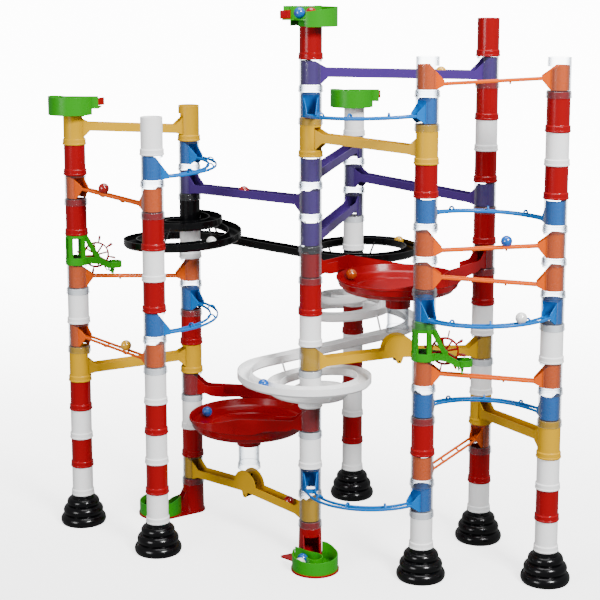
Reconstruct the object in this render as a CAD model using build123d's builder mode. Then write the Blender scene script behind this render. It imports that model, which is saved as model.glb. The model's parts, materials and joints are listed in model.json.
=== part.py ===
from build123d import *
import os
from math import sin, cos, asin, atan2, pi, radians, degrees, sqrt, hypot

os.makedirs("parts", exist_ok=True)

# ---------------------------------------------------------------- driving dimensions (mm)
pitch = 46.0               # height that each stacked tube adds to a tower
tube_r = 16.0              # outside of a tube
bore_r = 14.4              # inside of a tube
collar_r = 17.8            # outside of the socket collar
collar_h = 9.0             # depth of the socket
spigot_h = 8.8             # length of the spigot that enters the next socket
fit = 0.06                 # clearance between spigot and socket
short_span = 177.0         # tower centres joined by a short rail
long_span = 266.0          # tower centres joined by a long rail
lattice_turn = 77.2        # bearing from tower D to tower E
side_turn = -100.7         # bearing from tower C to tower B
tower_d_x = 13.17          # tower D in plan, so that the whole stands centred on the origin
tower_d_y = -109.66

marble_r = 8.0
nose_x = 23.0              # where a rail's end piece stops and its rails begin
nose_high = 27.0           # height of the running line at a rail's upper end
nose_low = 19.0            # and at its lower end
rod_r = 1.15               # half the thickness of a ladder rail's rods
rod_deep = 4.2             # and their height
curve_high = 22.0          # the same two running heights on a curved rail
curve_low = 15.0
rod_gap = 5.5              # half the distance between two rods
bow = 60.0                 # sideways bulge of a curved rail
chute_w = 20.0             # outside width of a trough rail
chute_h = 12.5             # its height
wall = 1.5

foot_r = 34.2
bowl_r = 91.0
bowl_rim = 3.0             # rim height above the funnel's own level
stem_r = 18.4

track_w = 21.0             # width of the spiral tracks
track_h = 12.5
track_t = 1.7

wheel_r = 30.0             # paddle wheel, and its axle measured from the holder's tower and level
wheel_x = 29.3
wheel_z = 12.5
gate_x = -31.0             # hinge of a starter's gate, from the starter's tower
gate_y = -17.0


# ---------------------------------------------------------------- plan of the towers
def polar(start, length, angle):
    return (start[0] + length * cos(radians(angle)), start[1] + length * sin(radians(angle)))


def apex(p, q, side):
    """Third corner of a triangle with two sides of short_span, to the right of p->q."""
    mx, my = (p[0] + q[0]) / 2, (p[1] + q[1]) / 2
    dx, dy = q[0] - p[0], q[1] - p[1]
    d = hypot(dx, dy)
    h = sqrt(side * side - d * d / 4)
    return (mx + dy / d * h, my - dx / d * h)


tower = {"D": (tower_d_x, tower_d_y)}
tower["E"] = polar(tower["D"], long_span, lattice_turn)
tower["G"] = polar(tower["D"], long_span, lattice_turn - 60)
tower["C"] = polar(tower["D"], long_span, lattice_turn + 60)
tower["B"] = polar(tower["C"], short_span, side_turn)
tower["A"] = polar(tower["C"], short_span, side_turn - 60)
tower["F"] = apex(tower["D"], tower["G"], short_span)
tower["H"] = apex(tower["F"], tower["G"], short_span)


def bearing(p, q):
    return degrees(atan2(tower[q][1] - tower[p][1], tower[q][0] - tower[p][0]))


def spot(name, level, turn=0.0, lift=0.0):
    return Location((tower[name][0], tower[name][1], level * pitch + lift), (0, 0, turn))


def between(p, q, level, along=0.5, lift=0.0):
    """A place on the line from tower p to tower q, turned so that +X points to q."""
    x = tower[p][0] + (tower[q][0] - tower[p][0]) * along
    y = tower[p][1] + (tower[q][1] - tower[p][1]) * along
    return Location((x, y, level * pitch + lift), (0, 0, bearing(p, q)))


# which plain tube stands at which level of which tower
white_levels = {"A": (1, 3, 7), "B": (1, 3, 5, 9, 13), "C": (3, 9), "D": (3, 7),
                "E": (1, 3, 5, 9, 13), "F": (1,), "G": (1, 5, 7, 13), "H": (1, 3, 7, 13)}
red_levels = {"A": (2, 4, 10, 12), "B": (2, 4, 8, 10), "C": (2, 6), "D": (8, 16), "E": (2, 4, 6),
              "F": (4, 12), "G": (2, 8, 10, 12, 14, 16), "H": (2, 12, 14)}

# rails as (upper tower, lower tower, level)
ladders = [("A", "B", 6), ("A", "B", 11), ("A", "C", 8), ("H", "F", 15), ("H", "F", 10),
           ("F", "H", 9), ("F", "H", 6), ("G", "F", 3)]
# curved rails bulge to the left of the way from their upper to their lower tower
curves = [("C", "B", 12), ("C", "B", 7), ("F", "H", 11), ("F", "H", 5), ("F", "D", 14),
          ("F", "D", 2), ("H", "F", 8)]
long_chutes = [("D", "G", 15), ("E", "D", 12), ("E", "D", 10), ("E", "G", 11), ("D", "C", 11)]
short_chutes = [("A", "C", 13), ("C", "A", 5), ("D", "F", 13), ("H", "G", 4)]
splitters = [("C", "D", 1), ("G", "D", 6)]
funnels = [("C", "D", 4), ("G", "D", 9)]

wheels = [("A", "C", 9), ("F", "H", 7)]
starters = [("A", 14, 180), ("D", 17, 0), ("E", 14, 180)]
trays = [("C", 198), ("D", -80)]

bow_radius = ((short_span / 2) ** 2 + bow * bow) / (2 * bow)
bow_leave = degrees(asin(short_span / 2 / bow_radius))
bow_nose = bow_leave - degrees(asin(nose_x / 2 / bow_radius))
arm_turn = degrees(asin((bowl_r - chute_w / 2) / (long_span / 2)))


# ---------------------------------------------------------------- tubes
with BuildPart() as tube:
    with BuildSketch(Plane.XZ) as tube_section:
        with BuildLine() as tube_outline:
            Polyline((tube_r + fit, 0), (collar_r - 0.5, 0), (collar_r, 0.6), (collar_r, 2.2),
                     (collar_r - 0.5, 2.8), (collar_r - 0.5, collar_h - 0.9), (tube_r + 0.2, collar_h + 0.3),
                     (tube_r, collar_h + 0.7), (tube_r, pitch + spigot_h - 0.4),
                     (tube_r - 0.4, pitch + spigot_h), (bore_r, pitch + spigot_h), (bore_r, collar_h),
                     (tube_r + fit, collar_h), (tube_r + fit, 0))
        make_face()
    revolve(axis=Axis.Z)

# a tube with a window in its wall towards +X, for the end of a rail
with BuildPart() as window_tube:
    add(tube.part)
    with BuildSketch(Plane.XY.offset(collar_h + 1.2)) as window_plan:
        with Locations((tube_r, 0)):
            Rectangle(14, 22.4)
    extrude(amount=32.5, mode=Mode.SUBTRACT)

# the room a paddle wheel sweeps beside and inside its tower
with BuildPart() as wheel_room:
    with BuildSketch(Plane.XZ.offset(-7)) as room_side:
        with Locations((wheel_x, wheel_z)):
            Circle(wheel_r + 0.6)
    extrude(room_side.sketch, amount=14)

wheel_spots = [spot(p, k, bearing(p, q)) for p, q, k in wheels]

with BuildPart() as tubes_white:
    with Locations(*[spot(t, k) for t in white_levels for k in white_levels[t]]):
        add(tube.part)
tubes_white.part.label = "tubes_white"
export_step(tubes_white.part, "parts/tubes_white.step")

with BuildPart() as tubes_red:
    with Locations(*[spot(t, k) for t in red_levels for k in red_levels[t]]):
        add(tube.part)
tubes_red.part.label = "tubes_red"
export_step(tubes_red.part, "parts/tubes_red.step")

window_spots = []
for p, q, k in ladders + long_chutes + splitters:
    window_spots += [spot(p, k, bearing(p, q)), spot(q, k, bearing(q, p))]
for p, q, k in curves:
    window_spots += [spot(p, k, bearing(p, q) + bow_nose), spot(q, k, bearing(q, p) - bow_nose)]
for p, q, k in funnels:
    window_spots += [spot(p, k, bearing(p, q) + arm_turn), spot(q, k, bearing(q, p) + arm_turn)]

with BuildPart() as tubes_clear:
    with Locations(*window_spots):
        add(window_tube.part)
    with Locations(*wheel_spots):
        add(wheel_room.part, mode=Mode.SUBTRACT)
tubes_clear.part.label = "tubes_clear"
export_step(tubes_clear.part, "parts/tubes_clear.step")


# ---------------------------------------------------------------- feet and exits at the ground
with BuildPart() as foot:
    with BuildSketch(Plane.XZ) as foot_section:
        with BuildLine() as foot_outline:
            l1 = Line((0, 0), (foot_r - 1.0, 0))
            l2 = RadiusArc(l1 @ 1, (foot_r - 5.2, 15.0), -9.5)
            l3 = RadiusArc(l2 @ 1, (foot_r - 10.4, 29.0), -8.5)
            l4 = RadiusArc(l3 @ 1, (collar_r + 0.4, 41.0), -7.5)
            l5 = Polyline(l4 @ 1, (collar_r + 0.2, pitch - 0.1), (tube_r, pitch - 0.1),
                          (tube_r, pitch + spigot_h), (bore_r, pitch + spigot_h),
                          (bore_r, 30), (0, 30), (0, 0))
        make_face()
    revolve(axis=Axis.Z)

with BuildPart() as feet:
    with Locations(*[spot(t, 0) for t in ("A", "B", "E", "F", "G", "H")]):
        add(foot.part)
feet.part.label = "feet"
export_step(feet.part, "parts/feet.step")


# ---------------------------------------------------------------- rails
shell_r = bore_r - 0.2     # the half shell that a rail's end puts inside its tube
shell_t = 1.4
end_low = 10.6             # a rail's end stands between these heights inside its tube
end_high = 44.0


def shell(x, side, r_out, reach):
    """Half shell about the tube at x, open towards side (+1 or -1 along X)."""
    with BuildSketch(Plane((x, 0, end_low))) as plan:
        Circle(r_out)
        Circle(r_out - shell_t, mode=Mode.SUBTRACT)
        with Locations((side * (reach + 20), 0)):
            Rectangle(40, 40, mode=Mode.SUBTRACT)
    extrude(plan.sketch, amount=end_high - end_low)


def plates(points, y_in, y_out):
    """Two upright side plates with the same outline, at y_in to y_out on both sides."""
    for side in (-1, 1):
        with BuildSketch(Plane.XZ.offset(-side * y_in)) as outline:
            with BuildLine():
                Polyline(*points, close=True)
            make_face()
        extrude(outline.sketch, amount=-side * (y_out - y_in))


def slab(points, half_width):
    """A plate with the given outline in side view, across the rail."""
    with BuildSketch(Plane.XZ.offset(-half_width)) as outline:
        with BuildLine():
            Polyline(*points, close=True)
        make_face()
    extrude(outline.sketch, amount=2 * half_width)


def chute(span, high, low, r_out):
    """A trough rail from a tube at x = 0 down to a tube at x = span."""
    up, dn = chute_h - 6.0, 6.0
    half = chute_w / 2
    plates([(3, end_high), (nose_x, high + up), (span - nose_x, low + up), (span - 3, end_high),
            (span - 3, end_low), (span - 12, end_low), (span - nose_x, low - dn),
            (nose_x, high - dn), (12, end_low), (3, end_low)], half - wall, half)
    slab([(-shell_r + 1.6, high - dn + 3.4), (nose_x, high - dn + wall), (span - nose_x, low - dn + wall),
          (span - 13, low - dn + wall - 0.6), (span - 13, low - dn - 0.6), (span - nose_x, low - dn),
          (nose_x, high - dn), (-shell_r + 1.6, high - dn + 1.9)], half - wall / 2)
    shell(0, 1, r_out, 9.6)
    shell(span, -1, r_out, 9.6)
    for x, side, nose in ((0, 1, high), (span, -1, low)):
        with BuildSketch(Plane.XZ.offset(-20)) as wedge:
            with BuildLine():
                Polyline((x + side * 3, end_high), (x + side * nose_x, nose + up),
                         (x + side * nose_x, end_high + 1), (x + side * 3, end_high + 1), close=True)
            make_face()
        extrude(wedge.sketch, amount=40, mode=Mode.SUBTRACT)


def keep_bore(x):
    """Nothing of the floor plate may leave the tube on the far side."""
    with BuildSketch(Plane((x, 0, end_low - 2))) as ring:
        Circle(40)
        Circle(shell_r, mode=Mode.SUBTRACT)
        with Locations((24, 0)):
            Rectangle(48, 80, mode=Mode.SUBTRACT)
    extrude(ring.sketch, amount=40, mode=Mode.SUBTRACT)


with BuildPart() as chute_long_one:
    chute(long_span, nose_high, nose_low, shell_r)
    keep_bore(0)

with BuildPart() as rails_long:
    with Locations(*[spot(p, k, bearing(p, q)) for p, q, k in long_chutes]):
        add(chute_long_one.part)
rails_long.part.label = "rails_long"
export_step(rails_long.part, "parts/rails_long.step")

with BuildPart() as chute_short_one:
    chute(short_span, nose_high, nose_low, bore_r + 0.6)
    for x, turn in ((0, 0), (short_span, 180)):
        with Locations(Location((x, 0, 0), (0, 0, turn))):
            add(window_tube.part)
        with BuildSketch(Plane((x, 0, 0))) as clear_bore:
            Circle(tube_r + fit)
        extrude(clear_bore.sketch, amount=collar_h, mode=Mode.SUBTRACT)

with BuildPart() as rails_short:
    with Locations(*[spot(p, k, bearing(p, q)) for p, q, k in short_chutes]):
        add(chute_short_one.part)
rails_short.part.label = "rails_short"
export_step(rails_short.part, "parts/rails_short.step")


def ladder_end(x, side, nose):
    """Shell, two converging cheeks and a short floor that carry the rods of a ladder rail."""
    with BuildSketch(Plane((x, 0, end_low))) as plan:
        with BuildLine():
            Polyline((side * 7, 10.4), (side * nose_x, rod_gap + 1.4), (side * nose_x, -rod_gap - 1.4),
                     (side * 7, -10.4), close=True)
        make_face()
        with BuildLine():
            Polyline((side * 6, 9.3), (side * (nose_x + 1), rod_gap - 0.2),
                     (side * (nose_x + 1), -rod_gap + 0.2), (side * 6, -9.3), close=True)
        make_face(mode=Mode.SUBTRACT)
    extrude(plan.sketch, amount=end_high - end_low)


def ladder_floor(x, side, nose, start):
    points = [(x + side * start, nose + 0.6), (x + side * nose_x, nose - 1.4),
              (x + side * nose_x, nose - 2.9), (x + side * start, nose - 0.9)]
    slab(points, rod_gap + 0.6)


def ladder_trim(x, side, nose):
    for points in (((x + side * 3, end_high), (x + side * nose_x, nose + 3.2),
                    (x + side * (nose_x + 2), nose + 3.2),
                    (x + side * (nose_x + 2), end_high + 1), (x + side * 3, end_high + 1)),
                   ((x + side * 12, end_low - 1), (x + side * 12, end_low), (x + side * nose_x, nose - 3.2),
                    (x + side * (nose_x + 2), nose - 3.2), (x + side * (nose_x + 2), end_low - 1))):
        with BuildSketch(Plane.XZ.offset(-20)) as wedge:
            with BuildLine():
                Polyline(*points, close=True)
            make_face()
        extrude(wedge.sketch, amount=40, mode=Mode.SUBTRACT)


def rod_section():
    """Upright bar with round edges; its top is where a rod of radius rod_r would have it."""
    with Locations((0, rod_r - rod_deep / 2)):
        SlotOverall(rod_deep, 2 * rod_r, rotation=90)


def rung(plane):
    """A small hanging bow that ties the two rods together."""
    with BuildSketch(plane) as bow_shape:
        Circle(rod_gap + 0.9)
        Circle(rod_gap - 1.0, mode=Mode.SUBTRACT)
        with Locations((0, 10)):
            Rectangle(20, 20, mode=Mode.SUBTRACT)
    extrude(bow_shape.sketch, amount=1.1, both=True)


with BuildPart() as ladder_one:
    ladder_end(0, 1, nose_high)
    ladder_end(short_span, -1, nose_low)
    shell(0, 1, shell_r, 8.6)
    shell(short_span, -1, shell_r, 8.6)
    ladder_trim(0, 1, nose_high)
    ladder_trim(short_span, -1, nose_low)
    ladder_floor(0, 1, nose_high, -12.6)
    ladder_floor(short_span, -1, nose_low, 13)
    run = short_span - 2 * nose_x + 1
    fall = (nose_high - nose_low) * run / (run - 1)
    for y in (-rod_gap, rod_gap):
        with BuildSketch(Plane(origin=(nose_x - 0.5, y, nose_high), x_dir=(0, 1, 0),
                               z_dir=(run, 0, -fall))) as rod_end:
            rod_section()
        extrude(rod_end.sketch, amount=hypot(run, fall))
    for step in (-0.5, 0.5):
        x = short_span / 2 + step * pitch
        z = nose_high - (nose_high - nose_low) * (x - nose_x) / (short_span - 2 * nose_x)
        rung(Plane(origin=(x, 0, z), x_dir=(0, 1, 0), z_dir=(1, 0, 0)))

with BuildPart() as rails_straight:
    with Locations(*[spot(p, k, bearing(p, q)) for p, q, k in ladders]):
        add(ladder_one.part)
    with Locations(*wheel_spots):
        add(wheel_room.part, mode=Mode.SUBTRACT)
rails_straight.part.label = "rails_straight"
export_step(rails_straight.part, "parts/rails_straight.step")


def on_bow(t, r, z=None):
    """Point of the curved rail: t runs from 0 at the upper nose to 1 at the lower one."""
    half = radians(bow_leave) - 2 * asin(nose_x / 2 / bow_radius)
    a = pi / 2 + half * (1 - 2 * t)
    height = curve_high + (curve_low - curve_high) * t if z is None else z
    return (short_span / 2 + r * cos(a), bow - bow_radius + r * sin(a), height)


with BuildPart() as curve_upper_end:
    ladder_end(0, 1, curve_high)
    shell(0, 1, shell_r, 8.6)
    ladder_trim(0, 1, curve_high)
    ladder_floor(0, 1, curve_high, -12.6)

with BuildPart() as curve_lower_end:
    ladder_end(0, 1, curve_low)
    shell(0, 1, shell_r, 8.6)
    ladder_trim(0, 1, curve_low)
    ladder_floor(0, 1, curve_low, 13)

with BuildPart() as curve_one:
    with Locations(Location((0, 0, 0), (0, 0, bow_nose))):
        add(curve_upper_end.part)
    with Locations(Location((short_span, 0, 0), (0, 0, 180 - bow_nose))):
        add(curve_lower_end.part)
    for r in (bow_radius - rod_gap, bow_radius + rod_gap):
        with BuildLine():
            rod_path = Spline(*[on_bow(-0.01 + 1.02 * i / 8, r) for i in range(9)])
        side = Vector(0, 0, 1).cross(rod_path % 0)
        with BuildSketch(Plane(origin=rod_path @ 0, x_dir=side, z_dir=rod_path % 0)) as rod_end:
            rod_section()
        sweep(rod_end.sketch, path=rod_path, binormal=Pos(0, 0, 40) * rod_path)
    for t in (0.2, 0.5, 0.8):
        a = on_bow(t, bow_radius)
        out = (a[0] - short_span / 2, a[1] - bow + bow_radius, 0)
        rung(Plane(origin=a, x_dir=(-out[0], -out[1], 0), z_dir=(out[1], -out[0], 0)))

with BuildPart() as rails_curved:
    with Locations(*[spot(p, k, bearing(p, q)) for p, q, k in curves]):
        add(curve_one.part)
rails_curved.part.label = "rails_curved"
export_step(rails_curved.part, "parts/rails_curved.step")


# ---------------------------------------------------------------- splitter rails with tipping flaps
fork_x = long_span / 2
fork_z = 27.0              # running line at the middle of a splitter rail
fork_end = 21.0            # and at both of its ends
fork_floor = fork_z - 6.0
pin_z = 14.6               # axis of the flap, under the floor
pin_r = 1.3
cheek_r = 24.0
vane_top = 46.0

with BuildPart() as splitter_one:
    half = chute_w / 2
    up, dn = chute_h - 6.0, 6.0
    plates([(3, end_high), (nose_x, fork_end + up), (fork_x, fork_z + up),
            (long_span - nose_x, fork_end + up), (long_span - 3, end_high), (long_span - 3, end_low),
            (long_span - 12, end_low),
            (long_span - nose_x, fork_end - dn), (fork_x, fork_z - dn), (nose_x, fork_end - dn),
            (12, end_low), (3, end_low)], half - wall, half)
    slab([(13, fork_end - dn + wall - 0.5), (nose_x, fork_end - dn + wall), (fork_x, fork_floor + wall),
          (long_span - nose_x, fork_end - dn + wall), (long_span - 13, fork_end - dn + wall - 0.5),
          (long_span - 13, fork_end - dn - 0.5), (long_span - nose_x, fork_end - dn), (fork_x, fork_floor),
          (nose_x, fork_end - dn), (13, fork_end - dn - 0.5)], half - wall / 2)
    shell(0, 1, shell_r, 9.6)
    shell(long_span, -1, shell_r, 9.6)
    for x, side in ((0, 1), (long_span, -1)):
        with BuildSketch(Plane.XZ.offset(-20)) as end_wedge:
            with BuildLine():
                Polyline((x + side * 3, end_high), (x + side * nose_x, fork_end + up),
                         (x + side * nose_x, end_high + 1), (x + side * 3, end_high + 1), close=True)
            make_face()
        extrude(end_wedge.sketch, amount=40, mode=Mode.SUBTRACT)
    # rounded cheeks around the flap and ears for its pin
    for side in (-1, 1):
        with BuildSketch(Plane.XZ.offset(-side * (half - wall))) as cheek:
            with Locations((fork_x, fork_z + 3)):
                Circle(cheek_r)
            with Locations((fork_x, fork_z - 26)):
                Rectangle(80, 40, mode=Mode.SUBTRACT)
            with Locations((fork_x, fork_z + 48)):
                Rectangle(80, 40, mode=Mode.SUBTRACT)
        extrude(cheek.sketch, amount=-side * wall)
        with BuildSketch(Plane.XZ.offset(-side * (half - wall))) as ear:
            with BuildLine():
                Polyline((fork_x - 7, fork_floor + 1), (fork_x + 7, fork_floor + 1), (fork_x + 3, pin_z - 3),
                         (fork_x - 3, pin_z - 3), close=True)
            make_face()
            with Locations((fork_x, pin_z)):
                Circle(pin_r, mode=Mode.SUBTRACT)
        extrude(ear.sketch, amount=-side * wall)
    with BuildSketch(Plane((fork_x, 0, fork_floor - 3))) as slot_plan:
        Rectangle(11, 14.6)
    extrude(slot_plan.sketch, amount=8, mode=Mode.SUBTRACT)

with BuildPart() as rails_splitter:
    with Locations(*[spot(p, k, bearing(p, q)) for p, q, k in splitters]):
        add(splitter_one.part)
rails_splitter.part.label = "rails_splitter"
export_step(rails_splitter.part, "parts/rails_splitter.step")

with BuildPart() as flap_pin_one:
    with BuildSketch(Plane((0, chute_w / 2 - 0.2, pin_z), x_dir=(1, 0, 0), z_dir=(0, -1, 0))) as pin_end:
        Circle(pin_r)
    extrude(pin_end.sketch, amount=chute_w - 0.4)

with BuildPart() as flap_pins:
    with Locations(*[between(p, q, k) for p, q, k in splitters]):
        add(flap_pin_one.part)
flap_pins.part.label = "flap_pins"
export_step(flap_pins.part, "parts/flap_pins.step")

# the flap: a hub on the pin, an upright vane and two wings that catch the marble
with BuildPart() as flap_one:
    with BuildSketch(Plane.XZ.offset(-6.4)) as flap_side:
        with Locations((0, pin_z)):
            Circle(3.0)
        with Locations((0, (pin_z + vane_top) / 2)):
            Rectangle(1.9, vane_top - pin_z)
        for side in (-1, 1):
            with BuildLine():
                Polyline((0, fork_floor + 5.2), (side * 10.5, fork_floor + 11.5),
                         (side * 10.5, fork_floor + 13.2), (0, fork_floor + 7.4), close=True)
            make_face()
        with Locations((0, pin_z)):
            Circle(pin_r + 0.06, mode=Mode.SUBTRACT)
    extrude(flap_side.sketch, amount=12.8)

flaps = []
for name, (p, q, k) in (("flap_left", splitters[0]), ("flap_right", splitters[1])):
    with BuildPart() as flap:
        with Locations(between(p, q, k)):
            add(flap_one.part)
    flap.part.label = name
    export_step(flap.part, "parts/" + name + ".step")

# ---------------------------------------------------------------- funnels
arm_far = sqrt((long_span / 2) ** 2 - (bowl_r - chute_w / 2) ** 2)
wall_high = 24.0           # top of the guide wall where an arm meets the bowl
wall_turn = 62.0           # how far round the bowl it runs
stem_low = -43.0

with BuildPart() as funnel_arm:      # tube at the origin, arm along +X, bowl centre to its right
    with BuildSketch() as arm_plan:
        with Locations((arm_far / 2 + 4, 0)):
            Rectangle(arm_far + 8 - 6, chute_w)
            Rectangle(arm_far + 8 - 4, chute_w - 2 * wall, mode=Mode.SUBTRACT)
        with Locations((arm_far, -(bowl_r - chute_w / 2))):
            Circle(bowl_r - 2, mode=Mode.SUBTRACT)
    with BuildSketch() as guide_plan:
        with Locations((arm_far, -(bowl_r - chute_w / 2))):
            Circle(bowl_r)
            Circle(bowl_r - 1.8, mode=Mode.SUBTRACT)
            with Locations((-60 - 2, 0)):
                Rectangle(120, 300, mode=Mode.SUBTRACT)
            with Locations(Location((0, 0, 0), (0, 0, -wall_turn))):
                with Locations((62, 0)):
                    Rectangle(124, 300, mode=Mode.SUBTRACT)
    extrude(arm_plan.sketch, amount=end_high)
    extrude(guide_plan.sketch, amount=end_high)
    with BuildSketch(Plane.XZ.offset(-150), mode=Mode.PRIVATE) as arm_side:
        with BuildLine():
            Polyline((1, end_low), (12, end_low), (nose_x, nose_low - 6), (nose_x + 10, 9.0),
                     (arm_far - 40, 7.0), (arm_far - 20, 0.5), (arm_far + 95, 0.5),
                     (arm_far + 95, bowl_rim), (arm_far + 80, bowl_rim),
                     (arm_far, wall_high), (nose_x + 6, wall_high + 1.0), (nose_x, wall_high + 2.5),
                     (3, end_high), (1, end_high), close=True)
        make_face()
    extrude(arm_side.sketch, amount=300, mode=Mode.INTERSECT)
    shell(0, 1, shell_r, 9.6)
    with BuildSketch(Plane.XZ.offset(-20)) as arm_wedge:
        with BuildLine():
            Polyline((3, end_high), (nose_x, wall_high + 2.5), (nose_x, end_high + 1),
                     (3, end_high + 1), close=True)
        make_face()
    extrude(arm_wedge.sketch, amount=40, mode=Mode.SUBTRACT)
    with BuildSketch(Plane.XZ.offset(-chute_w / 2 + 0.6)) as arm_deck:
        with BuildLine():
            Polyline((-12.4, nose_low - 2.6), (nose_x, nose_low - 4.4), (nose_x + 10, 10.5),
                     (arm_far - 12, 6.0), (arm_far - 12, 4.4), (nose_x + 10, 9.0), (nose_x, nose_low - 6),
                     (-12.4, nose_low - 4.2),
                     close=True)
        make_face()
    extrude(arm_deck.sketch, amount=chute_w - 1.2)
    keep_bore(0)
    with BuildSketch(Plane.XY) as bowl_clear:
        with Locations((arm_far, -(bowl_r - chute_w / 2))):
            Circle(bowl_r - 1.9)
    extrude(bowl_clear.sketch, amount=30, mode=Mode.SUBTRACT)

with BuildPart() as funnel_one:      # bowl centre at the origin
    with BuildSketch(Plane.XZ) as bowl_section:
        with BuildLine():
            Polyline((bowl_r, bowl_rim), (bowl_r, 0.4), (bowl_r - 1.4, -0.8), (bowl_r - 4.0, -9.0),
                     (bowl_r - 7.5, -10.6), (bowl_r - 10.5, -15.6), (bowl_r - 14, -17.0), (stem_r, -27.0),
                     (stem_r, stem_low), (tube_r + fit, stem_low), (tube_r + fit, -26.0), (11, -26.0),
                     (11, -24.6), (13, -23.4), (60, -13.6), (62, -11.6), (bowl_r - 8.6, -8.2),
                     (bowl_r - 5.8, -6.2), (bowl_r - 1.9, bowl_rim), close=True)
        make_face()
    revolve(axis=Axis.Z)
    for x, turn in ((-long_span / 2, 0), (long_span / 2, 180)):
        with Locations(Location((x, 0, 0), (0, 0, turn + arm_turn))):
            add(funnel_arm.part)

with BuildPart() as funnel_bowls:
    with Locations(*[between(p, q, k) for p, q, k in funnels]):
        add(funnel_one.part)
funnel_bowls.part.label = "funnel_bowls"
export_step(funnel_bowls.part, "parts/funnel_bowls.step")

drop_z = stem_low - (pitch + spigot_h) + 16.8
with BuildPart() as drop_tubes:
    with Locations(*[between(p, q, k, lift=drop_z) for p, q, k in funnels]):
        add(tube.part)
drop_tubes.part.label = "drop_tubes"
export_step(drop_tubes.part, "parts/drop_tubes.step")

# ---------------------------------------------------------------- spiral tracks
# radius of the track's middle and its height (in levels) at every eighth turn, from the
# straight run inwards to the hub
coil_radius = (92, 96, 96, 92, 86, 80, 74, 67, 60, 54, 50, 47, 45, 44.5, 44, 36, 25)
fall_inlet = (1.22, 1.33, 1.5, 1.66, 1.86, 1.97, 2.07, 2.16, 2.26)     # every quarter turn
fall_outlet = (0.95, 0.92, 0.86, 0.76, 0.52, 0.45, 0.38, 0.31, 0.25)


def read(values, turns, steps):
    """Value at a number of turns, from a row of values given every 1/steps turn."""
    at = min(max(turns * steps, 0), len(values) - 1.000001)
    low = int(at)
    return values[low] + (values[low + 1] - values[low]) * (at - low)


def track_points(span):
    run_angle = -degrees(asin(2 * coil_radius[0] / span))
    n = 24
    inlet = []
    for i in range(n + 1):
        turns = 2.0 * i / n
        a = radians(run_angle + 90 + 360 * turns)
        r = read(coil_radius, turns, 8)
        inlet.append((r * cos(a), r * sin(a), pitch * read(fall_inlet, turns, 4)))
    outlet = []
    for i in range(n + 1):
        turns = 2.0 * i / n
        a = radians(run_angle - 90 + 360 * turns)
        r = read(coil_radius, turns, 8)
        outlet.append((span + r * cos(a), r * sin(a), pitch * read(fall_outlet, turns, 4)))
    p, q = inlet[0], outlet[0]
    middle = [tuple(p[j] + (q[j] - p[j]) * s for j in range(3)) for s in (0.25, 0.5, 0.75)]
    return inlet[::-1] + middle + outlet


def prop(start, end, r):
    """Round strut between two points, reaching 1.5 mm into what it joins at each end."""
    d = Vector(*end) - Vector(*start)
    with BuildSketch(Plane(origin=Vector(*start) - d.normalized() * 1.5, z_dir=d)) as strut:
        Circle(r)
    extrude(strut.sketch, amount=d.length + 3)


with BuildPart() as spiral_one:      # upper hub at the origin two levels up, lower hub at +X
    with BuildLine():
        lead = Spline(*track_points(long_span))
    across = Vector(0, 0, 1).cross(lead % 0)
    with BuildSketch(Plane(origin=lead @ 0, x_dir=across, z_dir=lead % 0)) as track_end:
        with BuildLine():
            w, h, t = track_w / 2, track_h, track_t
            Polyline((-w, h), (-w, 3.2), (-w + 2.8, 0), (w - 2.8, 0), (w, 3.2), (w, h), (w - t, h),
                     (w - t, 4.0), (w - t - 2.2, t), (-w + t + 2.2, t), (-w + t, 4.0), (-w + t, h),
                     close=True)
        make_face()
    sweep(track_end.sketch, path=lead, binormal=Pos(0, 0, 40) * lead)
    run_angle = -degrees(asin(2 * coil_radius[0] / long_span))
    for x, base, first, fall in ((0, 2 * pitch, run_angle + 90, fall_inlet),
                                 (long_span, 0, run_angle - 90, fall_outlet)):
        with Locations((x, 0, base)):
            add(tube.part)
        with BuildSketch(Plane(Location((x, 0, base + collar_h + 1.6), (0, 0, first)))) as hub_bridge:
            with Locations((19, 0)):
                Rectangle(16, 19)
        extrude(hub_bridge.sketch, amount=2.6)
        for turns in (0.0, 0.5, 0.68):
            a = radians(first + 360 * turns)
            r_out, r_in = read(coil_radius, turns, 8) - 9.6, read(coil_radius, turns + 1, 8) + 9.6
            z_out, z_in = pitch * read(fall, turns, 4) + 5, pitch * read(fall, turns + 1, 4) + 5
            prop((x + r_out * cos(a), r_out * sin(a), z_out), (x + r_in * cos(a), r_in * sin(a), z_in), 1.5)
        with BuildSketch(Plane((x, 0, base - 10))) as hub_bore:
            Circle(bore_r)
        extrude(hub_bore.sketch, amount=pitch + 30, mode=Mode.SUBTRACT)
        with BuildSketch(Plane((x, 0, base - 10))) as hub_socket:
            Circle(tube_r + fit)
        extrude(hub_socket.sketch, amount=10 + collar_h, mode=Mode.SUBTRACT)
        # the way between track and hub
        with BuildSketch(Plane(Location((x, 0, base + collar_h + 4.2), (0, 0, first)))) as hub_door:
            with Locations((16, 0)):
                Rectangle(14, 17.4)
        extrude(hub_door.sketch, amount=18, mode=Mode.SUBTRACT)
    with BuildSketch(Plane((0, 0, 2 * pitch + collar_h + 2.4))) as hub_floor:
        Circle(bore_r + 0.6)
    extrude(hub_floor.sketch, amount=1.8)

with BuildPart() as spiral_black:
    with Locations(spot("C", 8, bearing("C", "E"))):
        add(spiral_one.part)
spiral_black.part.label = "spiral_black"
export_step(spiral_black.part, "parts/spiral_black.step")

with BuildPart() as spiral_white:
    with Locations(spot("E", 5, bearing("E", "D"))):
        add(spiral_one.part)
spiral_white.part.label = "spiral_white"
export_step(spiral_white.part, "parts/spiral_white.step")


# ---------------------------------------------------------------- exits at the ground
tray_x = 53.0              # centre of the round tray from its tower
tray_r = 35.0

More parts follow.
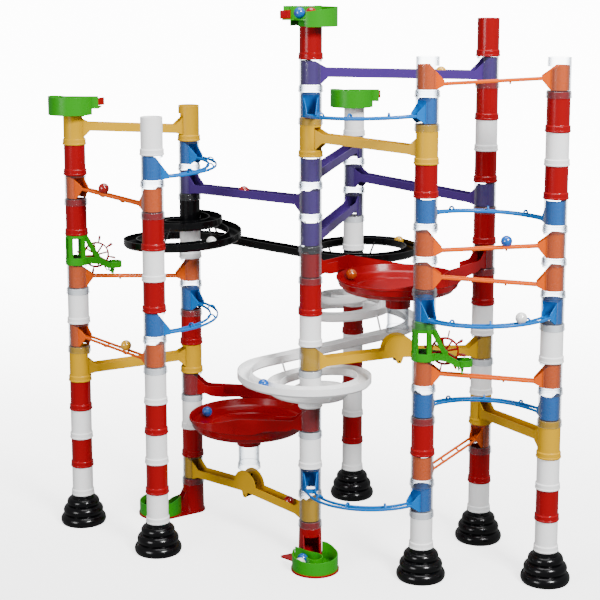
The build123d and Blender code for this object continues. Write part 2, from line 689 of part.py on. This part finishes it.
with BuildPart() as exit_one:
    with BuildSketch() as exit_plan:
        with Locations((tray_x, 0)):
            Circle(tray_r)
        Circle(19)
        make_hull()
    extrude(exit_plan.sketch, amount=3)
    with BuildSketch() as fin_plan:
        with BuildLine():
            Polyline((-12, -10), (1, -44), (5, -44), (30, -22), (20, -6), close=True)
        make_face()
    extrude(fin_plan.sketch, amount=2.2)
    with BuildSketch(Plane.XZ) as exit_section:
        with BuildLine():
            Polyline((bore_r, 2.9), (collar_r - 0.4, 2.9), (tube_r + 0.6, pitch - 1), (tube_r, pitch - 0.2),
                     (tube_r, pitch + spigot_h - 0.4), (tube_r - 0.4, pitch + spigot_h),
                     (bore_r, pitch + spigot_h), (bore_r, 2.9))
        make_face()
    revolve(exit_section.sketch, axis=Axis.Z)
    for side in (-1, 1):
        with BuildSketch(Plane.XZ.offset(-side * 11.0)) as exit_cheek:
            with BuildLine():
                Polyline((8, 2.9), (25, 2.9), (25, 12), (13, 37), (8, 37), close=True)
            make_face()
        extrude(exit_cheek.sketch, amount=-side * 1.6)
    with BuildSketch(Plane.XY.offset(3)) as exit_door:
        with Locations((tube_r, 0)):
            Rectangle(12, 21.0)
    extrude(exit_door.sketch, amount=30, mode=Mode.SUBTRACT)
    with BuildSketch(Plane.XZ.offset(-10.4)) as exit_ramp:
        with BuildLine():
            Polyline((-bore_r + 3.4, 12), (10, 4.2), (26, 3.0), (26, 2.5), (-bore_r + 3.4, 2.5), close=True)
        make_face()
    extrude(exit_ramp.sketch, amount=20.8)

with BuildPart() as exit_bases:
    with Locations(*[spot(t, 0, turn) for t, turn in trays]):
        add(exit_one.part)
exit_bases.part.label = "exit_bases"
export_step(exit_bases.part, "parts/exit_bases.step")

with BuildPart() as catch_one:
    with BuildSketch(Plane.XY.offset(3)) as ring_plan:
        with Locations((tray_x, 0)):
            Circle(tray_r - 1.4)
            Circle(tray_r - 3.2, mode=Mode.SUBTRACT)
        with BuildLine():
            Polyline((tray_x, 0), (tray_x - 60, 30), (tray_x - 60, -70), (tray_x - 34, -60), close=True)
        make_face(mode=Mode.SUBTRACT)
    extrude(ring_plan.sketch, amount=27)
    with BuildSketch(Plane.XZ.offset(-60)) as ring_slope:
        with BuildLine():
            Polyline((0, 31), (tray_x - 30, 31), (tray_x - 12, 25), (tray_x + 40, 21), (tray_x + 40, 40),
                     (0, 40), close=True)
        make_face()
    extrude(ring_slope.sketch, amount=120, mode=Mode.SUBTRACT)
    with BuildSketch(Plane.XY.offset(3)) as guide_plan:
        with BuildLine():
            guide = Spline((14, -24), (22, -17), (34, -7), (46, 8), (58, 10), (67, 0), (62, -10), (54, -12.5))
        trace(lines=guide, line_width=1.8)
    extrude(guide_plan.sketch, amount=17)
    with BuildSketch(Plane.XY.offset(3)) as guide_foot:
        with Locations((tray_x, 0)):
            Circle(tray_r - 2)
            Circle(16, mode=Mode.SUBTRACT)
        with BuildLine():
            Polyline((tray_x, 0), (tray_x - 60, 30), (tray_x - 60, -40), close=True)
        make_face(mode=Mode.SUBTRACT)
    extrude(guide_foot.sketch, amount=1.4)

with BuildPart() as catch_walls:
    with Locations(*[spot(t, 0, turn) for t, turn in trays]):
        add(catch_one.part)
catch_walls.part.label = "catch_walls"
export_step(catch_walls.part, "parts/catch_walls.step")


# ---------------------------------------------------------------- starters with swinging gates
gate_pin_r = 1.4
floor_z = 9.0

with BuildPart() as starter_one:
    with BuildSketch(Plane.XZ) as cup_section:
        with BuildLine():
            Polyline((tube_r + fit, 0), (collar_r, 0), (collar_r, floor_z + 0.5), (10, floor_z + 0.5),
                     (10, floor_z), (tube_r + fit, floor_z), (tube_r + fit, 0))
        make_face()
    revolve(axis=Axis.Z)
    with BuildSketch(Plane.XY.offset(floor_z)) as deck_plan:
        with Locations((4, 0)):
            Circle(34)
        with Locations((-24, -6)):
            Rectangle(30, 30)
        Circle(10, mode=Mode.SUBTRACT)
    extrude(deck_plan.sketch, amount=2)
    with BuildSketch() as rim_plan:
        with Locations((4, 0)):
            Circle(34)
            Circle(32.2, mode=Mode.SUBTRACT)
        with BuildLine():
            Polyline((4, 0), (-60, 12), (-60, -60), (-14, -60), close=True)
        make_face(mode=Mode.SUBTRACT)
    extrude(rim_plan.sketch, amount=27)
    with BuildSketch(Plane.XZ) as rim_slope:
        with BuildLine():
            Polyline((40, 27.5), (-30, 17.5), (-30, 40), (40, 40), close=True)
        make_face()
    extrude(rim_slope.sketch, amount=50, mode=Mode.SUBTRACT)
    with BuildSketch(Plane.XY.offset(floor_z)) as inner_plan:
        with BuildLine():
            inner = Spline((-39, 8), (-20, 9), (2, 9), (13, 14), (13, 23), (4, 26),
                           tangents=((1, 0), (-1, 0)))
        trace(lines=inner, line_width=1.8)
    extrude(inner_plan.sketch, amount=19)
    with BuildSketch(Plane.XY.offset(floor_z)) as post_plan:
        with Locations((gate_x, gate_y)):
            Circle(gate_pin_r)
    extrude(post_plan.sketch, amount=15)

with BuildPart() as starter_trays:
    with Locations(*[spot(t, k, turn) for t, k, turn in starters]):
        add(starter_one.part)
starter_trays.part.label = "starter_trays"
export_step(starter_trays.part, "parts/starter_trays.step")

with BuildPart() as gate_one:        # hinge axis at the origin
    with BuildSketch(Plane.XY.offset(floor_z + 2.3)) as gate_plan:
        with Locations((0, 11)):
            Rectangle(2.2, 20)
        with Locations((0, 0)):
            Circle(3.6)
        with Locations(Location((0, 0, 0), (0, 0, -35))):
            with Locations((0, -9)):
                Rectangle(2.2, 16)
        Circle(gate_pin_r + 0.06, mode=Mode.SUBTRACT)
    extrude(gate_plan.sketch, amount=11.5)

for name, (t, k, turn) in zip(("starter_gate_a", "starter_gate_d", "starter_gate_e"), starters):
    with BuildPart() as gate:
        with Locations(spot(t, k, turn) * Location((gate_x, gate_y, 0))):
            add(gate_one.part)
    gate.part.label = name
    export_step(gate.part, "parts/" + name + ".step")


# ---------------------------------------------------------------- wheel holders and paddle wheels
axle_r = 1.5
arm_in, arm_out = 7.6, 9.8

with BuildPart() as holder_one:
    with BuildSketch(Plane.XZ) as holder_collar:
        with BuildLine():
            Polyline((tube_r + fit, 0), (collar_r, 0), (collar_r, 11), (bore_r, 11), (bore_r, collar_h),
                     (tube_r + fit, collar_h), (tube_r + fit, 0))
        make_face()
        with BuildLine():
            Polyline((bore_r, 41), (tube_r + 0.8, 41), (tube_r + 0.8, pitch), (tube_r, pitch),
                     (tube_r, pitch + spigot_h), (bore_r, pitch + spigot_h), (bore_r, 41))
        make_face()
    revolve(axis=Axis.Z)
    with BuildSketch(Plane.XY.offset(10)) as post_rows:
        for turn in (62, 135, 180, 225, -62):
            with Locations(Location((0, 0, 0), (0, 0, turn))):
                with Locations((tube_r - 0.4, 0)):
                    Rectangle(2.8, 7.0)
    extrude(post_rows.sketch, amount=32)
    plates([(8, 11), (8, 2), (20, 1), (34, -1), (46, -8), (50, -8), (50, 0), (36, 8), (22, 11)],
           arm_in, arm_out)
    plates([(9, 43), (16.5, 43), (wheel_x + 6.5, 6), (wheel_x - 1, 6)], arm_in, arm_out)
    for side in (-1, 1):
        with BuildSketch(Plane.XZ.offset(-side * arm_in)) as boss:
            with Locations((wheel_x, wheel_z)):
                Circle(4.4)
        extrude(boss.sketch, amount=-side * (arm_out - arm_in))
    with BuildSketch(Plane.XY.offset(-8)) as cup_plan:
        with Locations((57, 0)):
            Circle(11.4)
            Circle(9.4, mode=Mode.SUBTRACT)
    extrude(cup_plan.sketch, amount=9)
    with BuildSketch(Plane.XY.offset(-8)) as cup_floor:
        with Locations((57, 0)):
            Circle(9.6)
            Circle(5, mode=Mode.SUBTRACT)
    extrude(cup_floor.sketch, amount=1.4)
    with BuildSketch(Plane.XZ.offset(-arm_out)) as tie:
        with Locations((48.4, -6)):
            Rectangle(3.0, 4.0)
    extrude(tie.sketch, amount=2 * arm_out)
    plates([(47, -6), (57, -6), (54.5, -19), (52.5, -19), (52, -11), (50.5, -11), (50, -14), (48, -14)],
           4.6, 6.4)
    add(wheel_room.part, mode=Mode.SUBTRACT)
    with BuildSketch(Plane.XY.offset(-10)) as holder_socket:
        Circle(tube_r + fit)
    extrude(holder_socket.sketch, amount=10 + collar_h, mode=Mode.SUBTRACT)
    with BuildSketch(Plane.XZ.offset(-20)) as axle_hole:
        with Locations((wheel_x, wheel_z)):
            Circle(axle_r)
    extrude(axle_hole.sketch, amount=40, mode=Mode.SUBTRACT)

with BuildPart() as wheel_holders:
    with Locations(*wheel_spots):
        add(holder_one.part)
wheel_holders.part.label = "wheel_holders"
export_step(wheel_holders.part, "parts/wheel_holders.step")

axle_spots = [s * Location((wheel_x, 0, wheel_z)) for s in wheel_spots]

with BuildPart() as axle_one:
    with BuildSketch(Plane.XZ.offset(-arm_out)) as axle_end:
        Circle(axle_r)
    extrude(axle_end.sketch, amount=2 * arm_out)

with BuildPart() as wheel_pins:
    with Locations(*axle_spots):
        add(axle_one.part)
wheel_pins.part.label = "wheel_pins"
export_step(wheel_pins.part, "parts/wheel_pins.step")

with BuildPart() as blade_one:
    with BuildSketch() as blade_plan:
        with BuildLine():
            Polyline((18.6, -2.2), (21.5, -2.4), (25.0, -5.6), (wheel_r - 1.6, -5.6), (wheel_r - 0.4, -4.4),
                     (wheel_r - 0.2, 0), (wheel_r - 0.4, 4.4), (wheel_r - 1.6, 5.6), (25.0, 5.6), (21.5, 2.4),
                     (18.6, 2.2), close=True)
        make_face()
    extrude(blade_plan.sketch, amount=0.8, both=True)

with BuildPart() as wheel_one:       # axle along Y through the origin
    with BuildSketch(Plane.XZ.offset(-2.6)) as wheel_ring:
        Circle(19.7)
        Circle(17.4, mode=Mode.SUBTRACT)
    extrude(wheel_ring.sketch, amount=5.2)
    with BuildSketch(Plane.XZ.offset(-1.2)) as wheel_spokes:
        for turn in range(0, 180, 45):
            with Locations(Location((0, 0, 0), (0, 0, turn + 22.5))):
                Rectangle(36, 2.4)
    extrude(wheel_spokes.sketch, amount=2.4)
    with BuildSketch(Plane.XZ.offset(-6.4)) as wheel_hub:
        Circle(4.0)
    extrude(wheel_hub.sketch, amount=12.8)
    with Locations(*[Location((0, 0, 0), (0, turn, 0)) for turn in range(0, 360, 45)]):
        add(blade_one.part)
    with BuildSketch(Plane.XZ.offset(-10)) as wheel_bore:
        Circle(axle_r + 0.06)
    extrude(wheel_bore.sketch, amount=20, mode=Mode.SUBTRACT)

for name, place in zip(("paddle_wheel_a", "paddle_wheel_f"), axle_spots):
    with BuildPart() as wheel:
        with Locations(place * Location((0, 0, 0), (0, 12, 0))):
            add(wheel_one.part)
    wheel.part.label = name
    export_step(wheel.part, "parts/" + name + ".step")


# ---------------------------------------------------------------- marbles
rest = marble_r + 0.04
rail_rest = sqrt((marble_r + rod_r) ** 2 - rod_gap ** 2) + 0.04


def in_trough(p, q, level, along, span):
    """Centre of a marble lying in a trough rail, at a share of the way from p to q."""
    x = along * span
    line = nose_high + (nose_low - nose_high) * (x - nose_x) / (span - 2 * nose_x)
    return between(p, q, level, along, line - 6 + wall + rest)


def on_ladder(p, q, level, along):
    x = along * short_span
    line = nose_high + (nose_low - nose_high) * (x - nose_x) / (short_span - 2 * nose_x)
    return between(p, q, level, along, line + rail_rest)


def at(name, level, turn, x, y, z):
    return spot(name, level, turn) * Location((x, y, z))


def in_bowl(p, q, level, r, turn):
    """Centre of a marble on the outer slope of a funnel, r from its middle."""
    z = -11.6 + (r - 62) * bowl_rise + rest * sqrt(1 + bowl_rise ** 2)
    x, y = polar((0, 0), r - rest * bowl_rise / sqrt(1 + bowl_rise ** 2), turn)
    return between(p, q, level, 0.5) * Location((x, y, z))


def on_track(p, q, level, fall, turns):
    """Centre of a marble in a spiral track: turns from where the straight run meets the coil."""
    upper = fall is fall_inlet
    a = -degrees(asin(2 * coil_radius[0] / long_span)) + (90 if upper else -90) + 360 * turns
    x, y = polar((0 if upper else long_span, 0), read(coil_radius, turns, 8), a)
    z = pitch * read(fall, turns, 4) + track_t + rest + 0.3
    return spot(p, level, bearing(p, q)) * Location((x, y, z))


def on_curve(p, q, level, t):
    """Centre of a marble on a curved rail, t from 0 at its upper nose to 1 at the lower."""
    x, y, z = on_bow(t, bow_radius)
    return spot(p, level, bearing(p, q)) * Location((x, y, z + rail_rest))


bowl_rise = (11.6 - 8.2) / (bowl_r - 8.6 - 62)
deck_rest = floor_z + 2 + rest
tray_rest = 4.4 + rest
marbles = {
    "marble_red_rolling": [on_ladder("A", "B", 11, 0.38)],
    "marble_yellow_rolling": [on_ladder("A", "B", 6, 0.63)],
    "marble_blue_rolling": [on_ladder("H", "F", 10, 0.37)],
    "marbles_red": [in_trough("D", "C", 11, 0.53, long_span), at("D", 17, 0, 1, -21, deck_rest),
                    at("C", 1, bearing("C", "D"), 0.83 * long_span, 0, 17.8 + rest)],
    "marbles_blue": [at("D", 17, 0, -15, -18, deck_rest), at("D", 0, -80, 42.5, -17, tray_rest),
                     in_bowl("C", "D", 4, 74, 200), on_track("E", "D", 5, fall_outlet, 0.29)],
    "marbles_yellow": [in_trough("D", "G", 15, 0.73, long_span), at("C", 0, 198, 66, -19, tray_rest),
                       on_track("C", "E", 8, fall_outlet, 0.42)],
    "marbles_orange": [in_bowl("G", "D", 9, 76, 320)],
    "marbles_white": [at("D", 0, -80, 58, -22.5, tray_rest), on_curve("H", "F", 8, 0.26),
                      on_track("C", "E", 8, fall_inlet, 0.66)],
}
for name in marbles:
    with BuildPart() as marble:
        with Locations(*marbles[name]):
            Sphere(marble_r)
    marble.part.label = name
    export_step(marble.part, "parts/" + name + ".step")
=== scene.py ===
import bpy
import json
import math
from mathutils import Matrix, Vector

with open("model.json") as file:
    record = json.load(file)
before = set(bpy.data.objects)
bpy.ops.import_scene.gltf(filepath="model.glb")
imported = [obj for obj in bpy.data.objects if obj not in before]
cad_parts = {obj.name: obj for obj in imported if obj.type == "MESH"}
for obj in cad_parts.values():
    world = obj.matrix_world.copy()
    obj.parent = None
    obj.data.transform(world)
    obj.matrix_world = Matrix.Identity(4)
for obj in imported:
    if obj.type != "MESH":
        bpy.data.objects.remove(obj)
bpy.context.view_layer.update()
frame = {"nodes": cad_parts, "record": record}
record = frame["record"]

# ------------------------------------------------------------------ material building blocks
def nodes_of(name):
    """A new node material, its tree and its main shader."""
    mat = bpy.data.materials.new(name)
    mat.use_nodes = True
    tree = mat.node_tree
    shader = tree.nodes["Principled BSDF"]
    return mat, tree, shader


def noise(tree, scale, detail=3.0):
    """Noise fixed to places in the scene, in metres."""
    place = tree.nodes.new("ShaderNodeNewGeometry")
    tex = tree.nodes.new("ShaderNodeTexNoise")
    tex.inputs["Scale"].default_value = scale
    tex.inputs["Detail"].default_value = detail
    tree.links.new(place.outputs["Position"], tex.inputs["Vector"])
    return tex


def spread(tree, source, lo, hi):
    """Map a noise value to the range lo..hi."""
    ramp = tree.nodes.new("ShaderNodeMapRange")
    ramp.inputs["From Min"].default_value = 0.3
    ramp.inputs["From Max"].default_value = 0.7
    ramp.inputs["To Min"].default_value = lo
    ramp.inputs["To Max"].default_value = hi
    tree.links.new(source, ramp.inputs["Value"])
    return ramp.outputs["Result"]


def tint(tree, source, color, amount):
    """The colour, a little lighter and darker with the noise."""
    mix = tree.nodes.new("ShaderNodeMix")
    mix.data_type = "RGBA"
    mix.inputs[6].default_value = [c * (1 - amount) for c in color[:3]] + [1]
    mix.inputs[7].default_value = [min(1, c * (1 + amount)) for c in color[:3]] + [1]
    tree.links.new(source, mix.inputs[0])
    return mix.outputs[2]


def rounded(tree, shader, radius, strength, scale):
    """Rounded-looking edges and a faint moulded surface."""
    edge = tree.nodes.new("ShaderNodeBevel")
    edge.samples = 4
    edge.inputs["Radius"].default_value = radius
    skin = noise(tree, scale, 2.0)
    bump = tree.nodes.new("ShaderNodeBump")
    bump.inputs["Strength"].default_value = strength
    bump.inputs["Distance"].default_value = 0.0002
    tree.links.new(skin.outputs["Fac"], bump.inputs["Height"])
    tree.links.new(edge.outputs["Normal"], bump.inputs["Normal"])
    tree.links.new(bump.outputs["Normal"], shader.inputs["Normal"])


def plastic(name, color, rough, depth=0.0, coat=0.08):
    """Gloss moulded plastic; depth lets some light into the wall."""
    mat, tree, shader = nodes_of(name)
    cloud = noise(tree, 22.0)
    fine = noise(tree, 240.0, 4.0)
    tree.links.new(tint(tree, cloud.outputs["Fac"], color, 0.03), shader.inputs["Base Color"])
    rougher = spread(tree, fine.outputs["Fac"], rough - 0.02, rough + 0.03)
    tree.links.new(rougher, shader.inputs["Roughness"])
    shader.inputs["IOR"].default_value = 1.46
    shader.inputs["Specular IOR Level"].default_value = 0.26
    shader.inputs["Coat Weight"].default_value = coat
    shader.inputs["Coat Roughness"].default_value = 0.08
    shader.inputs["Subsurface Weight"].default_value = depth
    shader.inputs["Subsurface Radius"].default_value = (0.004, 0.003, 0.003)
    shader.inputs["Subsurface Scale"].default_value = 0.5
    rounded(tree, shader, 0.0005, 0.012, 220.0)
    return mat


def clear_plastic(name):
    """Clear moulded polystyrene: see-through face on, with sheen and a milky edge at a slant."""
    mat, tree, shader = nodes_of(name)
    out = tree.nodes["Material Output"]
    fine = noise(tree, 60.0, 3.0)
    shader.inputs["Base Color"].default_value = (0.72, 0.74, 0.77, 1)
    shader.inputs["IOR"].default_value = 1.5
    tree.links.new(spread(tree, fine.outputs["Fac"], 0.06, 0.12), shader.inputs["Roughness"])
    rounded(tree, shader, 0.0004, 0.02, 300.0)
    through = tree.nodes.new("ShaderNodeBsdfTransparent")
    sheen = tree.nodes.new("ShaderNodeBsdfGlossy")
    tree.links.new(spread(tree, fine.outputs["Fac"], 0.05, 0.10), sheen.inputs["Roughness"])
    facing = tree.nodes.new("ShaderNodeLayerWeight")
    facing.inputs["Blend"].default_value = 0.5

    def share(start, least, most):
        """A value that grows with the slant of the wall, from least at start to most at the rim."""
        part = tree.nodes.new("ShaderNodeMapRange")
        part.inputs["From Min"].default_value = start
        part.inputs["From Max"].default_value = 1.0
        part.inputs["To Min"].default_value = least
        part.inputs["To Max"].default_value = most
        tree.links.new(facing.outputs["Facing"], part.inputs["Value"])
        return part.outputs["Result"]

    # light that crosses the wall at a slant goes through more plastic and comes out greyer
    grey = tree.nodes.new("ShaderNodeMix")
    grey.data_type = "RGBA"
    grey.inputs[6].default_value = (0.945, 0.955, 0.965, 1)
    grey.inputs[7].default_value = (0.50, 0.53, 0.57, 1)
    tree.links.new(share(start=0.12, least=0.0, most=1.0), grey.inputs[0])
    tree.links.new(grey.outputs[2], through.inputs["Color"])

    face = tree.nodes.new("ShaderNodeMixShader")
    tree.links.new(share(start=0.20, least=0.02, most=0.22), face.inputs["Fac"])
    tree.links.new(through.outputs["BSDF"], face.inputs[1])
    tree.links.new(sheen.outputs["BSDF"], face.inputs[2])
    mix = tree.nodes.new("ShaderNodeMixShader")
    tree.links.new(share(start=0.40, least=0.015, most=0.42), mix.inputs["Fac"])
    tree.links.new(face.outputs["Shader"], mix.inputs[1])
    tree.links.new(shader.outputs["BSDF"], mix.inputs[2])
    tree.links.new(mix.outputs["Shader"], out.inputs["Surface"])
    return mat


def glass_marble(name, color):
    """Opaque glass with a faint swirl under a very smooth skin."""
    mat, tree, shader = nodes_of(name)
    place = tree.nodes.new("ShaderNodeNewGeometry")
    swirl = tree.nodes.new("ShaderNodeTexWave")
    swirl.inputs["Scale"].default_value = 45.0
    swirl.inputs["Distortion"].default_value = 6.0
    swirl.inputs["Detail"].default_value = 2.0
    tree.links.new(place.outputs["Position"], swirl.inputs["Vector"])
    tree.links.new(tint(tree, swirl.outputs["Fac"], color, 0.10), shader.inputs["Base Color"])
    shader.inputs["Roughness"].default_value = 0.06
    shader.inputs["IOR"].default_value = 1.52
    shader.inputs["Coat Weight"].default_value = 0.8
    shader.inputs["Coat Roughness"].default_value = 0.02
    return mat


looks = {
    "white": plastic("white_plastic", (0.97, 0.972, 0.975), 0.26, 0.06),
    "red": plastic("red_plastic", (0.27, 0.0, 0.0030), 0.22),
    "black": plastic("black_plastic", (0.0015, 0.0016, 0.002), 0.20, 0.0, 0.15),
    "orange": plastic("orange_plastic", (0.70, 0.095, 0.0), 0.26),
    "blue": plastic("blue_plastic", (0.0, 0.13, 0.46), 0.26),
    "purple": plastic("purple_plastic", (0.055, 0.022, 0.170), 0.30),
    "yellow": plastic("yellow_plastic", (0.58, 0.315, 0.0), 0.30, 0.0, 0.02),
    "green": plastic("green_plastic", (0.016, 0.26, 0.004), 0.28),
    "clear": clear_plastic("clear_plastic"),
    "marble_red": glass_marble("marble_red", (0.28, 0.002, 0.002)),
    "marble_blue": glass_marble("marble_blue", (0.001, 0.09, 0.42)),
    "marble_yellow": glass_marble("marble_yellow", (0.66, 0.34, 0.001)),
    "marble_white": glass_marble("marble_white", (0.86, 0.86, 0.84)),
    "marble_orange": glass_marble("marble_orange", (0.60, 0.10, 0.001)),
}

slot_of = {s["node"]: s["material_slot"] for s in record["subparts"]}
for name, node in frame["nodes"].items():
    node.data.materials.clear()
    node.data.materials.append(looks[slot_of[name]])

# ------------------------------------------------------------------ floor and backdrop
def backdrop():
    """A round sheet with an upturned rim on every side, so that each view ends in plain paper."""
    centre_y, reach, bend, rise = -0.8, 4.2, 1.6, 5.0
    steps, turns = 16, 64
    line = [(reach - bend + bend * math.sin(a), bend - bend * math.cos(a))
            for a in (math.pi / 2 * i / steps for i in range(steps + 1))]
    line.append((reach, rise))
    around = [2 * math.pi * k / turns for k in range(turns)]
    verts = [(r * math.cos(a), centre_y + r * math.sin(a), z) for r, z in line for a in around]
    faces = [tuple(range(turns))]
    for i in range(len(line) - 1):
        inner, outer = i * turns, (i + 1) * turns
        for k in range(turns):
            after = (k + 1) % turns
            faces.append((inner + k, outer + k, outer + after, inner + after))
    mesh = bpy.data.meshes.new("backdrop")
    mesh.from_pydata(verts, [], faces)
    for p in mesh.polygons:
        p.use_smooth = True
    sheet = bpy.data.objects.new("backdrop", mesh)
    bpy.context.collection.objects.link(sheet)
    mat, tree, shader = nodes_of("studio_paper")
    cloud = noise(tree, 3.0, 2.0)
    tree.links.new(tint(tree, cloud.outputs["Fac"], (0.90, 0.90, 0.90), 0.01), shader.inputs["Base Color"])
    shader.inputs["Roughness"].default_value = 0.55
    shader.inputs["Specular IOR Level"].default_value = 0.25
    # the sheet glows more towards its far end, so that it fades to plain white
    place = tree.nodes.new("ShaderNodeNewGeometry")
    apart = tree.nodes.new("ShaderNodeSeparateXYZ")
    tree.links.new(place.outputs["Position"], apart.inputs["Vector"])
    glow = tree.nodes.new("ShaderNodeMapRange")
    glow.interpolation_type = "SMOOTHSTEP"
    glow.inputs["From Min"].default_value = -0.6
    glow.inputs["From Max"].default_value = 2.6
    glow.inputs["To Min"].default_value = 2.0
    glow.inputs["To Max"].default_value = 12.0
    tree.links.new(apart.outputs["Y"], glow.inputs["Value"])
    shader.inputs["Emission Color"].default_value = (1, 1, 1, 1)
    tree.links.new(glow.outputs["Result"], shader.inputs["Emission Strength"])
    mesh.materials.append(mat)
    # its glow is for the view only and does not grey out the colours standing in front of it
    sheet.visible_diffuse = False
    sheet.visible_glossy = False


backdrop()

# ------------------------------------------------------------------ light
def area(name, place, aim, width, height, power):
    """A soft rectangular lamp at one place, turned towards another."""
    lamp = bpy.data.lights.new(name, "AREA")
    lamp.shape = "RECTANGLE"
    lamp.size, lamp.size_y = width, height
    lamp.energy = power
    ob = bpy.data.objects.new(name, lamp)
    ob.location = place
    ob.rotation_euler = (Vector(aim) - Vector(place)).to_track_quat("-Z", "Y").to_euler()
    bpy.context.collection.objects.link(ob)


area("key", (1.5, -2.1, 2.3), (0.0, 0.0, 0.35), 0.8, 0.8, 185)
area("fill", (-2.2, -2.6, 1.2), (0.0, 0.0, 0.4), 1.4, 1.4, 75)
area("top", (0.2, 0.0, 2.8), (0.0, 0.0, 0.0), 1.6, 1.6, 60)
area("back", (0.0, 1.6, 2.4), (0.0, 3.4, 1.2), 3.5, 1.2, 10)

world = bpy.data.worlds.new("studio")
bpy.context.scene.world = world
world.use_nodes = True
world.node_tree.nodes["Background"].inputs["Color"].default_value = (1.0, 1.0, 1.0, 1)
world.node_tree.nodes["Background"].inputs["Strength"].default_value = 0.32

# ------------------------------------------------------------------ camera
camera = bpy.data.cameras.new("camera")
camera.lens = 91.0
camera.sensor_width = 36.0
camera.shift_y = -0.14
camera.clip_end = 30.0
eye = bpy.data.objects.new("camera", camera)
eye.location = (0.0963, -2.2477, 0.880)
look_down, look_left = 9.76, 2.63
eye.rotation_euler = (math.radians(90.0 - look_down), 0.0, math.radians(look_left))
bpy.context.collection.objects.link(eye)
bpy.context.scene.camera = eye
